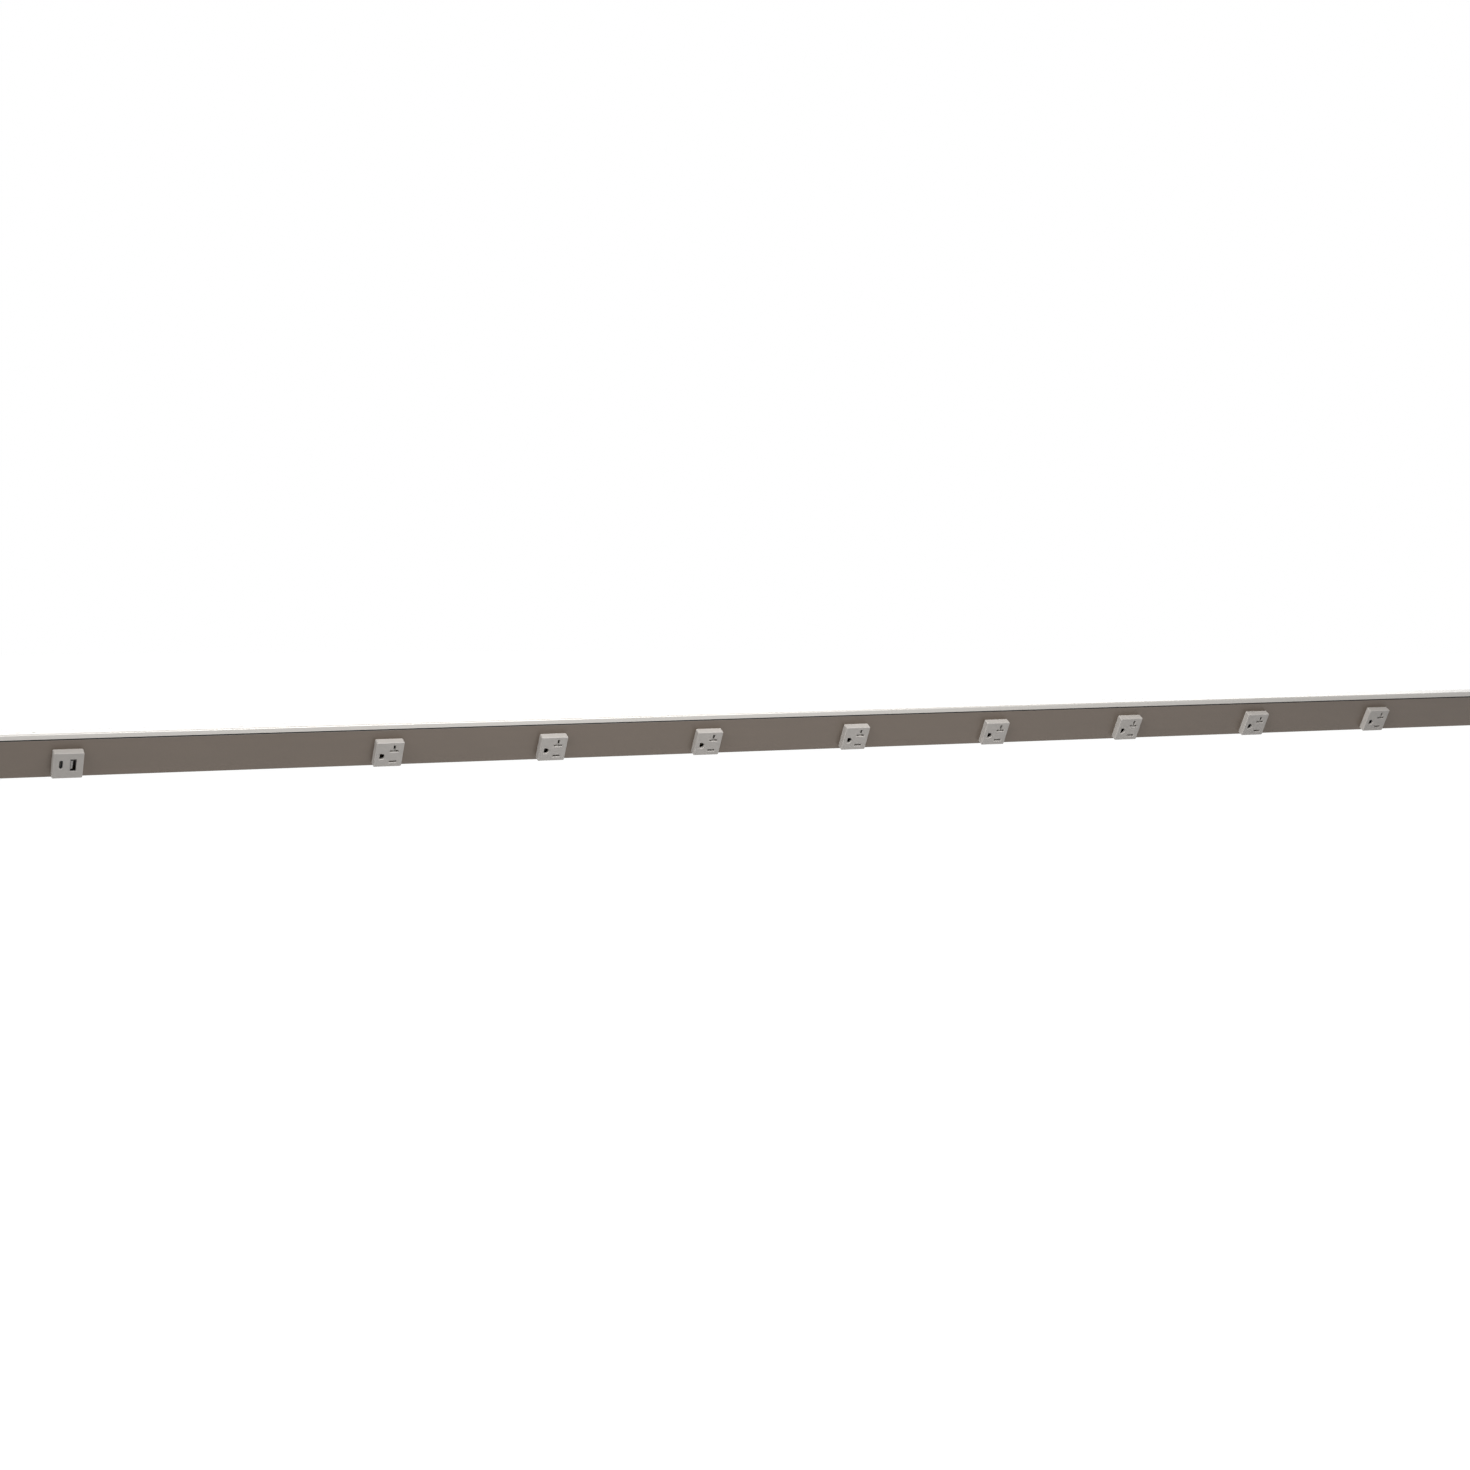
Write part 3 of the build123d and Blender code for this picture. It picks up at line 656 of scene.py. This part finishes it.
copper = finish(
    "copper", (0.72, 0.36, 0.2), (0.6, 0.28, 0.15), roughness=(0.25, 0.4),
    grain=4000, patches=600, relief=0.000005, stretch=(0.1, 1, 1), metallic=1.0,
)
for wire in ("hot", "neutral", "ground"):
    low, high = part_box(wire + "_wire")
    y, z = (low.y + high.y) / 2, (low.z + high.z) / 2
    strands = []
    for i in range(STRANDS_AROUND + 1):
        reach = 0 if i == STRANDS_AROUND else STRAND_SPACING
        turn = 2 * math.pi * i / STRANDS_AROUND
        middle = (
            low.x - STRAND_LENGTH / 2, y + reach * math.cos(turn), z + reach * math.sin(turn)
        )
        bpy.ops.object.select_all(action="DESELECT")
        bpy.ops.mesh.primitive_cylinder_add(
            vertices=14,
            radius=STRAND_RADIUS,
            depth=STRAND_LENGTH,
            location=middle,
            rotation=(0, math.pi / 2, 0),
        )
        bpy.ops.object.transform_apply(location=True, rotation=True)
        strand = bpy.context.object
        apply_modifier(strand, "BEVEL", width=STRAND_CHAMFER, limit_method="ANGLE")
        strands.append(strand)
    bundle = joined(wire + "_strands", strands)
    bpy.ops.object.shade_smooth_by_angle(angle=STRAND_SMOOTH)
    fit_out(bundle, copper)

# End cap screws
# Plated pan head screws with a cross recess and a coarse thread. Each passes through an end cap
# and cuts its own thread in a port of the back channel.
HEAD_RADIUS = 0.0028
HEAD_HEIGHT = 0.0019
HEAD_RIM = 0.45 * HEAD_HEIGHT
HEAD_DOME = ((0.25, 0.93), (0.18, 0.84), (0.12, 0.66))
SHANK_RADIUS = 0.00145
THREAD_DEPTH = 0.0003
THREAD_PITCH = 0.001
THREAD_TURNS = 11
TIP_TAPER = 0.45
RECESS_FLOOR = 0.35 * HEAD_HEIGHT
RECESS_REACH = 0.0015
RECESS_HALF_WIDTH = 0.0003
RECESS_TURN = 20
RECESS_ROUNDING = 0.00005
SCREW_SMOOTH = math.radians(38)

screw_steel = finish(
    "screw_steel", (0.62, 0.6, 0.57), (0.54, 0.52, 0.5), roughness=(0.2, 0.35),
    grain=4000, patches=400, relief=0.000005, metallic=1.0,
)


def disc(vertices, radius, height):
    """The start of a head or shank: a disc along X whose seat lies at the origin."""
    bpy.ops.object.select_all(action="DESELECT")
    bpy.ops.mesh.primitive_cylinder_add(
        vertices=vertices,
        radius=radius,
        depth=height,
        location=(height / 2, 0, 0),
        rotation=(0, math.pi / 2, 0),
    )
    bpy.ops.object.transform_apply(location=True, rotation=True)
    return bpy.context.object


def select_end(piece, side):
    """Selects only the faces that look out of one end of a piece along X."""
    bpy.ops.object.mode_set(mode="OBJECT")
    mesh = piece.data
    for group in (mesh.vertices, mesh.edges):
        for item in group:
            item.select = False
    for face in mesh.polygons:
        face.select = side * face.normal.x > 0.9
    bpy.ops.object.mode_set(mode="EDIT")
    bpy.ops.mesh.select_mode(type="FACE")


def pull(distance):
    """Extrudes the selected faces along X."""
    bpy.ops.mesh.extrude_region_move(TRANSFORM_OT_translate={"value": (distance, 0, 0)})


def narrow(factor):
    """Scales the selected faces in their own plane, about their middle."""
    bpy.ops.transform.resize(value=(1, factor, factor))


def thread(turns, pitch, root):
    """Pulls a shank away from the head, narrowed to its root and widened again at each turn."""
    for turn in range(turns):
        pull(-pitch / 2)
        narrow(root)
        pull(-pitch / 2)
        narrow(1 / root)


def cut_out(piece, cutter):
    """Takes a cutter's shape out of a piece and throws the cutter away."""
    bpy.ops.object.select_all(action="DESELECT")
    piece.select_set(True)
    bpy.context.view_layer.objects.active = piece
    apply_modifier(piece, "BOOLEAN", operation="DIFFERENCE", object=cutter)
    bpy.data.objects.remove(cutter)


screw = disc(32, HEAD_RADIUS, HEAD_RIM)
select_end(screw, 1)
for rise, factor in HEAD_DOME:
    pull(HEAD_HEIGHT * rise)
    narrow(factor)
select_end(screw, -1)
bpy.ops.mesh.inset(thickness=HEAD_RADIUS - SHANK_RADIUS)
thread(THREAD_TURNS, THREAD_PITCH, 1 - THREAD_DEPTH / SHANK_RADIUS)
pull(-THREAD_PITCH)
narrow(TIP_TAPER)
bpy.ops.object.mode_set(mode="OBJECT")
for turned in (0, 90):
    cutter = block(
        (RECESS_FLOOR, -RECESS_REACH, -RECESS_HALF_WIDTH),
        (HEAD_HEIGHT * 2, RECESS_REACH, RECESS_HALF_WIDTH),
        RECESS_ROUNDING,
    )
    cutter.data.transform(Matrix.Rotation(math.radians(turned + RECESS_TURN), 4, "X"))
    cut_out(screw, cutter)
screw.data.shade_smooth()
bpy.ops.object.shade_smooth_by_angle(angle=SCREW_SMOOTH)

low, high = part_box("end_cap_screws")
port_y = (low.y + high.y) / 2
seat_x = high.x - HEAD_HEIGHT
for end, side, turned in (("left", -1, math.pi), ("right", 1, 0)):
    for row, port_z in (("top", high.z - HEAD_RADIUS), ("low", low.z + HEAD_RADIUS)):
        seat = Matrix.Translation((side * seat_x, port_y, port_z))
        place = seat @ Matrix.Rotation(turned, 4, "Z")
        copy = placed_copy(screw, f"cap_screw_{end}_{row}", place)
        fit_out(copy, screw_steel)
        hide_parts("end_cap_screws")
bpy.data.objects.remove(screw)

# Ground screw
# The green hexagonal screw that bonds the ground wire to the channel's top wall: chamfered head,
# slot across it and a threaded shank through the wall.
GROUND_HEAD = 0.004
GROUND_HEIGHT = 0.003
CHAMFER_HEIGHT = 0.2 * GROUND_HEIGHT
CHAMFER_TAPER = 0.86
SEAT_INSET = 0.0004
SLOT_FLOOR = 0.6 * GROUND_HEIGHT
SLOT_REACH = 0.01
SLOT_HALF_WIDTH = 0.0005
SLOT_ROUNDING = 0.00005
EDGE_ROUNDING = 0.0001
GROUND_SHANK = 0.002
GROUND_SHANK_START = 0.0002
GROUND_PITCH = 0.00066
GROUND_TURNS = 2
GROUND_ROOT = 0.88

ground_green = finish(
    "ground_green", (0.04, 0.26, 0.1), (0.03, 0.2, 0.08), roughness=(0.3, 0.42),
    grain=3000, patches=400, relief=0.000006, metallic=0.6,
)
bond = disc(6, GROUND_HEAD, GROUND_HEIGHT - CHAMFER_HEIGHT)
select_end(bond, 1)
pull(CHAMFER_HEIGHT)
narrow(CHAMFER_TAPER)
select_end(bond, -1)
bpy.ops.mesh.inset(thickness=SEAT_INSET)
bpy.ops.mesh.subdivide(number_cuts=1)
bpy.ops.object.mode_set(mode="OBJECT")
slot = block(
    (SLOT_FLOOR, -SLOT_REACH, -SLOT_HALF_WIDTH),
    (GROUND_HEIGHT * 2, SLOT_REACH, SLOT_HALF_WIDTH),
    SLOT_ROUNDING,
)
cut_out(bond, slot)
apply_modifier(bond, "BEVEL", width=EDGE_ROUNDING, limit_method="ANGLE")
shank = disc(32, GROUND_SHANK, GROUND_SHANK_START)
select_end(shank, -1)
thread(GROUND_TURNS, GROUND_PITCH, GROUND_ROOT)
bpy.ops.object.mode_set(mode="OBJECT")
bond = joined("ground_screw_green", [bond, shank])
low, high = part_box("ground_screw")
seat = Matrix.Translation(((low.x + high.x) / 2, (low.y + high.y) / 2, low.z + GROUND_HEIGHT))
bond.data.transform(seat @ Matrix.Rotation(math.pi / 2, 4, "Y"))
fit_out(bond, ground_green)
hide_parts("ground_screw")
